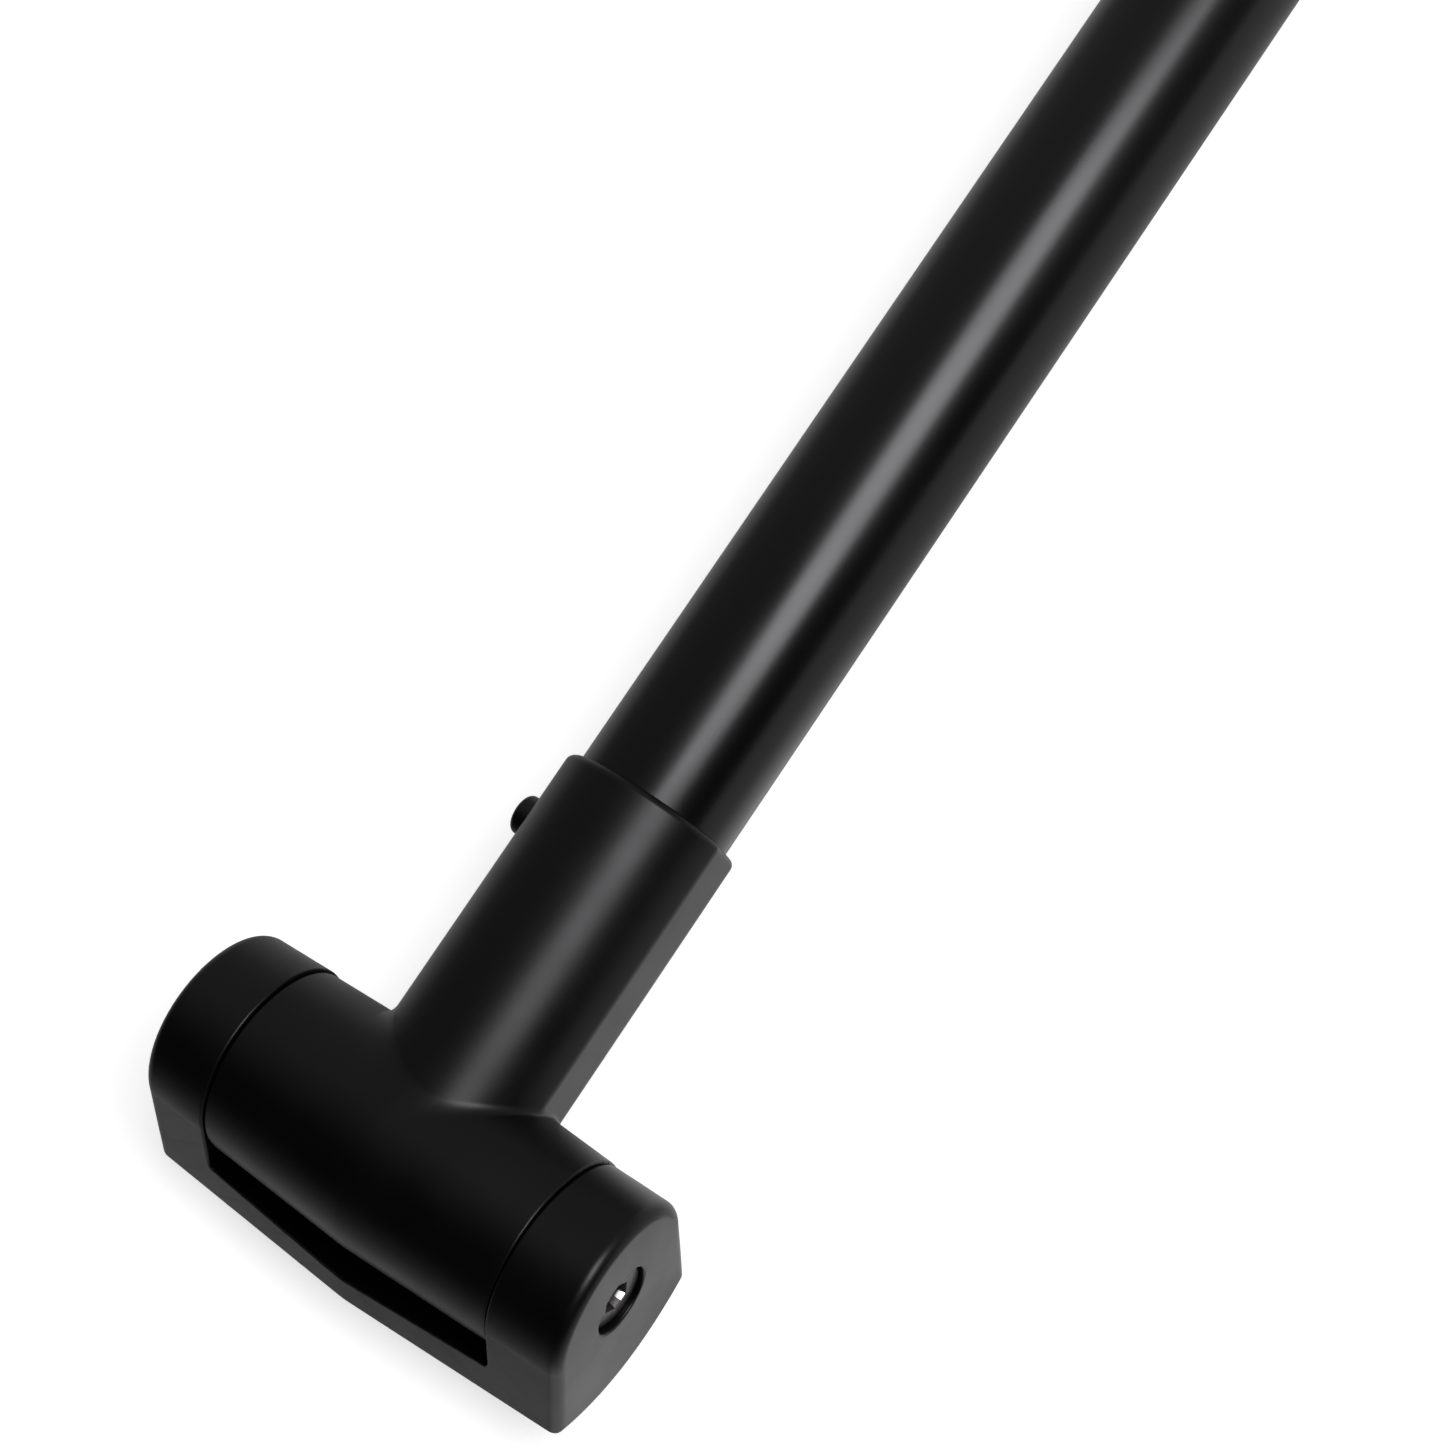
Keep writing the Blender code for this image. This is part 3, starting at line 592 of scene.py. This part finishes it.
head_shape = surface(head_field, HEAD_X, HEAD_Y + 0.013, HEAD_Z + 0.007)
yoke_shape = surface(yoke_field, YOKE_X + 0.011, YOKE_Y + 0.017, YOKE_Z + 0.06)
pad_shape = surface(pad_field, PAD_X + 0.012, PAD_Y + 0.009, PAD_Z + 0.006)
nut_shape = surface(nut_field, NUT_XZ + 0.003, NUT_Y, NUT_XZ + 0.004)

for side, tube, foot, _, _ in ENDS:
    field_object("head_casting", head_shape, side, CAST, tube, "black_casting", "head",
                 foot=False)
    field_object("foot_casting", yoke_shape, side, CAST, foot, "black_casting", "foot_yoke")
    field_object("pivot_nut_body", nut_shape, side, ZINC, foot, "zinc_steel", "pivot_nut")


# ---------------------------------------------------------------- tubes and sleeves
# Profile corners are (along, radius, fillet).

def tube_corners(x0, x1, bore, radius, fillet):
    return [(x0, bore, 0.2), (x0, radius, fillet), (x1, radius, fillet), (x1, bore, 0.2)]


def adapter_corners():
    """Sleeve filling the far head around the inner tube, with a flange outside its mouth."""
    bore = INNER_R + 0.05
    flange = HALF_SPAN - MOUTH - 6.0
    flange_end, flange_r = flange + 5.4, TUBE_R + 2.0
    return [(flange, bore, 0.3), (flange, flange_r, 1.2), (flange_end, flange_r, 0.4),
            (flange_end, TUBE_R, 0.0), (INNER_X1, TUBE_R, 0.5), (INNER_X1, bore, 0.3)]


COLLET_X = OUTER_X1 - 24.0
LOCK_X0, LOCK_X1 = COLLET_X - 8.0, OUTER_X1 + 22.0
LOCK_R, LOCK_BORE = 25.6, TUBE_R + 2.95
LOCK_STEPS = 46  # divisions along the fluted grip
FLUTES = 6
FLUTE_DEPTH = 1.25  # multiplies the flute's section
FLUTE_RISE, FLUTE_SPREAD = 1.35, 7.2  # parabola of the section: height, width factor
FLUTE_FADE = 2.4  # length of a flute's soft end


def lock_corners():
    """Twist-lock sleeve: a grip with rounded ends, narrowing in a step to its mouth."""
    corners = [(LOCK_X0, 20.0, 0.3), (LOCK_X0, LOCK_R, 1.6)]
    for i in range(1, LOCK_STEPS):
        along = LOCK_X0 + 2.0 + (LOCK_X1 - 7.0 - LOCK_X0 - 2.0) * i / LOCK_STEPS
        corners.append((along, LOCK_R, 0.0))
    return corners + [
        (LOCK_X1 - 5.8, LOCK_R, 1.5), (LOCK_X1 - 1.2, 22.6, 1.0), (LOCK_X1, 21.6, 0.8),
        (LOCK_X1, 18.0, 0.3), (OUTER_X1 + 17.3, 18.0, 0.0), (OUTER_X1 + 17.2, TUBE_R - 0.5, 0.0),
        (OUTER_X1 + 6.2, TUBE_R + 2.5, 0.0), (OUTER_X1 + 5.0, LOCK_BORE, 0.0),
        (COLLET_X - 0.4, LOCK_BORE, 0.0), (COLLET_X - 0.4, 20.0, 0.3)]


def fluted(along, radius, angle):
    """Sinks soft-ended flutes into the outside of the lock sleeve."""
    if radius < 25.0:
        return radius
    start, end = LOCK_X0 + 8.0, LOCK_X1 - 12.5
    ends = (min(1.0, max(0.0, (along - start) / FLUTE_FADE))
            * min(1.0, max(0.0, (end - along) / FLUTE_FADE)))
    turn = (angle * FLUTES / (2.0 * math.pi) + 0.5) % 1.0 - 0.5
    across = turn * 2.0 * math.pi / FLUTES * LOCK_R
    depth = max(0.0, FLUTE_RISE - across * across / FLUTE_SPREAD)
    # Eases in over the first 0.7 of depth, then follows the parabola
    depth = depth - 0.35 if depth > 0.7 else depth * depth / 1.4
    return radius - FLUTE_DEPTH * depth * soft_step(ends, start=0.0, run=1.0)


outer = tube_corners(OUTER_X0, OUTER_X1, TUBE_BORE, TUBE_R, fillet=0.4)
mesh_object("outer_tube_skin", *turned(outer, segments=180), TUBE, "bar_outer", "black_tube",
            "outer_tube", smooth=30)
inner = tube_corners(INNER_X0, INNER_X1, INNER_BORE, INNER_R, fillet=0.3)
mesh_object("inner_tube_skin", *turned(inner, segments=160), ANODISED, "bar_inner",
            "black_anodised", "inner_tube", smooth=30)
mesh_object("adapter_sleeve_skin", *turned(adapter_corners(), segments=128), PLASTIC,
            "bar_inner", "black_plastic", "adapter_sleeve", smooth=30)
mesh_object("lock_sleeve_skin", *turned(lock_corners(), segments=288, shape=fluted), PLASTIC,
            "lock", "black_plastic", "lock_sleeve", smooth=38)

# ---------------------------------------------------------------- buttons, bolts and pads

BUTTON_TIP, BUTTON_R, BUTTON_ROUND = 25.6, 4.75, 1.3
FLANGE_R, FLANGE_THICK = 6.0, 1.3


def snap_button(side, body, bore):
    """Round-tipped pin with a flange just inside the tube's wall."""
    stem = math.sqrt(bore ** 2 - FLANGE_R ** 2) - 0.5
    rings = [(stem - FLANGE_THICK, FLANGE_R - 0.3), (stem - FLANGE_THICK + 0.3, FLANGE_R),
             (stem, FLANGE_R), (stem + 0.01, BUTTON_R)]
    for k in range(9):
        t = math.radians(90.0 * k / 8)
        rings.append((BUTTON_TIP - BUTTON_ROUND + BUTTON_ROUND * math.sin(t),
                      BUTTON_R - BUTTON_ROUND + BUTTON_ROUND * math.cos(t)))
    points, faces = capped(rings, segments=72)
    points = np.array(points) + np.array([BUTTON_X, 0.0, 0.0])
    # Starting each face one corner on splits its quads along the other diagonal
    faces = [face[1:] + face[:1] for face in faces]
    mesh_object("snap_button_pin_" + side, placed(points, side), faces, BUTTON, body,
                "black_button", "snap_button_" + side, smooth=35)


BOLT_FACE, BOLT_SEAT, BOLT_TIP = -56.75, -NUT_NEAR, 56.0
SOCKET_FLOOR, KEY_HALF = -52.4, 2.75
SHANK_R, ROOT_R = 4.0, 3.74
THREADS, THREAD_PITCH = 10, 0.55
BRIGHT_SEGMENTS = range(78, 85)


def pivot_bolt(side, body):
    """Socket-head bolt with thread at its tip and a bare patch on the socket's lead-in."""
    rings = [(SOCKET_FLOOR, KEY_HALF), (BOLT_FACE + 1.6, KEY_HALF), (BOLT_FACE + 0.05, 3.4),
             (BOLT_FACE, 3.48), (BOLT_FACE, 7.2), (BOLT_FACE + 0.1, 7.42),
             (BOLT_FACE + 0.35, 7.55), (BOLT_SEAT - 0.15, 7.55), (BOLT_SEAT, 7.4),
             (BOLT_SEAT, SHANK_R + 0.25), (BOLT_SEAT + 0.25, SHANK_R), (49.6, SHANK_R)]
    for i in range(THREADS):
        start = THREAD_PITCH * i
        rings += [(49.9 + start, SHANK_R), (50.1 + start, ROOT_R), (50.25 + start, ROOT_R)]
    rings += [(55.45, SHANK_R), (BOLT_TIP, 3.5)]
    points, faces = capped(rings, segments=96, hex_rings=4)
    bolt = mesh_object("pivot_bolt_body_" + side, placed(points, side, foot=True), faces,
                       BLACK_STEEL, body, "zinc_steel", "pivot_bolt_" + side, smooth=30)
    bolt.data.materials.append(STEEL)
    # Each segment has two cap faces, then its quads; the lead-in is the second quad
    slots = np.zeros(len(faces), np.int32)
    for k in BRIGHT_SEGMENTS:
        slots[k * (len(rings) + 1) + 3] = 1
    bolt.data.polygons.foreach_set("material_index", slots)


for side, _, foot, button, bore in ENDS:
    snap_button(side, button, bore)
    pivot_bolt(side, foot)
    field_object("pad_rubber", pad_shape, side, RUBBER, foot, "pad_rubber", "foot_pad")

# Hardware that keeps its CAD shape, by the start of its node's name
KEPT = {"pivot_bush": NYLON, "pivot_washer": ZINC, "button_spring": SPRING,
        "lock_collet": PLASTIC, "slide_bush": PLASTIC}
for name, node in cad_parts.items():
    for start, look in KEPT.items():
        if name.startswith(start):
            node.data.materials.clear()
            node.data.materials.append(look)

# ---------------------------------------------------------------- floor (metres)

FLOOR_SIZE, FLOOR_CELLS, FLOOR_GAP = 14.0, 24, 0.0002


def floor_material():
    """Pale to the camera; to other rays it has painted shade past the near end, and a patch of painted
    light, standing in for a pale reflector, glows in glossy reflections.
    """
    look = material("pale_floor")
    look.finish("Roughness", 0.9)
    look.finish("Specular IOR Level", 0.0)
    look.finish("Emission Color", (1.0, 1.0, 1.0, 1.0))
    speckle = look.noise(look.mapped(), scale=300.0, detail=3.0)
    shade = look.mix(speckle, (0.83, 0.83, 0.83), (0.86, 0.86, 0.86))
    rays = look.add("LightPath").outputs
    where = look.add("SeparateXYZ", {"Vector": look.place()}).outputs

    # Painted shade: to rays other than the camera's, the floor's colour drops to 0.35 past the near
    # end
    clear_of_painted_shade = look.soft_ramp(where["X"], -0.90, -0.74)
    free_of_painted_shade = look.maths("MAXIMUM", clear_of_painted_shade, rays["Is Camera Ray"])
    painted_shade_colour = look.mix(free_of_painted_shade, (0.35, 0.35, 0.35), (0.0, 0.0, 0.0))
    look.feed(painted_shade_colour.node, "B", shade)
    look.finish("Base Color", painted_shade_colour)

    # Painted light: a patch of floor that glows only to glossy rays stands in for a pale reflector; it
    # lies to -Y of an edge that steps along X
    edge = look.soft_ramp(where["X"], -0.692, -0.672, low=-0.0576, high=-0.0208)
    beyond = look.maths("SUBTRACT", edge, where["Y"])
    painted_card_mask = look.maths("MULTIPLY", look.soft_ramp(beyond, 0.055, 0.030),
                      look.soft_ramp(beyond, -0.008, 0.004))
    painted_card_mask = look.maths("MULTIPLY", painted_card_mask, look.soft_ramp(where["X"], -0.52, -0.60))
    painted_card_mask = look.maths("MULTIPLY", painted_card_mask, clear_of_painted_shade)
    painted_card_mask = look.maths("MULTIPLY", painted_card_mask, rays["Is Glossy Ray"])
    # Painted light of the reflector, at half strength
    painted_card_glow = look.maths("MULTIPLY", painted_card_mask, 0.5)

    # The camera sees the floor brighten with distance from the middle
    away = look.add("VectorMath", {0: look.place()}, operation="LENGTH").outputs["Value"]
    level = look.soft_ramp(away, 1.0, 3.2, low=0.68, high=0.94)
    glow = look.maths("MULTIPLY_ADD", rays["Is Camera Ray"], level, painted_card_glow)
    look.finish("Emission Strength", glow)
    return look.owner


scene = bpy.context.scene
floor_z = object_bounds()[0].z - FLOOR_GAP
lines = [-FLOOR_SIZE / 2 + FLOOR_SIZE * i / FLOOR_CELLS for i in range(FLOOR_CELLS + 1)]
row = FLOOR_CELLS + 1
floor_mesh = bpy.data.meshes.new("floor")
floor_mesh.from_pydata(
    [(x, y, floor_z) for y in lines for x in lines], [],
    [(j * row + i, j * row + i + 1, (j + 1) * row + i + 1, (j + 1) * row + i)
     for j in range(FLOOR_CELLS) for i in range(FLOOR_CELLS)])
floor = bpy.data.objects.new("floor", floor_mesh)
scene.collection.objects.link(floor)
floor_mesh.materials.append(floor_material())

# ---------------------------------------------------------------- surround, camera, light


def direction(azimuth, elevation):
    """Unit vector from degrees around Z from +X, and above the floor."""
    az, el = math.radians(azimuth), math.radians(elevation)
    return Vector((math.cos(az) * math.cos(el), math.sin(az) * math.cos(el), math.sin(el)))


# Surround: pale to the camera, and to other rays dim with a broad brighter side
world = bpy.data.worlds.new("studio")
sky = Look(world, "Background")
facing = sky.add("VectorMath", {0: sky.place("Generated"), 1: direction(15, 15)},
                 operation="DOT_PRODUCT").outputs["Value"]
panel = sky.soft_ramp(facing, -0.15, 0.75, low=0.018, high=0.26)
to_camera = sky.add("LightPath").outputs["Is Camera Ray"]
strength = sky.add("Mix", {"Factor": to_camera, "A": panel, "B": 0.95}, data_type="FLOAT")
sky.finish("Strength", strength.outputs["Result"])
sky.finish("Color", (1.0, 1.0, 1.0, 1.0))
scene.world = world

CAMERA_TURN = (2.38842, -1.31274, -0.0771)  # rotation axis times its angle in radians
PIVOT_SEEN = (-66.11807, 93.80914, 645.67855)  # near pivot from the camera: right, down, ahead
SENSOR, LENS = 36.0, 74.67072664

angle = math.sqrt(sum(v * v for v in CAMERA_TURN))
turn = np.array(Matrix.Rotation(angle, 3, Vector([v / angle for v in CAMERA_TURN])))
spot = -turn.T @ np.array(PIVOT_SEEN)
spot += np.array([-HALF_SPAN, 0.0, AXIS_HEIGHT])
pose = np.eye(4)
pose[:3, :3] = turn.T @ np.diag([1.0, -1.0, -1.0])
pose[:3, 3] = spot * MM
camera_data = bpy.data.cameras.new("camera")
camera_data.sensor_width = SENSOR
camera_data.lens = LENS
camera_data.clip_start = 0.02
camera_data.clip_end = 60.0
camera = bpy.data.objects.new("camera", camera_data)
scene.collection.objects.link(camera)
camera.matrix_world = Matrix(pose.tolist())
scene.camera = camera

# Square softbox aimed at the near head, in metres; its radiance is the brightness of its face
KEY_AIM = Vector((-0.62, 0.0, AXIS_HEIGHT * MM))
KEY_DISTANCE, KEY_SIZE, KEY_RADIANCE = 2.5, 1.25, 7.0

key_data = bpy.data.lights.new("key", "AREA")
key_data.shape = "RECTANGLE"
key_data.size = KEY_SIZE
key_data.size_y = KEY_SIZE
key_data.energy = KEY_RADIANCE * math.pi * KEY_SIZE * KEY_SIZE
key_data.color = (1.0, 0.978, 1.01)
key = bpy.data.objects.new("key", key_data)
scene.collection.objects.link(key)
key_place = KEY_AIM + KEY_DISTANCE * direction(azimuth=-68.0, elevation=60.0)
key.location = key_place
key.rotation_mode = "QUATERNION"
key.rotation_quaternion = (KEY_AIM - key_place).to_track_quat("-Z", "Y")

scene.view_settings.view_transform = "Standard"
scene.view_settings.look = "None"
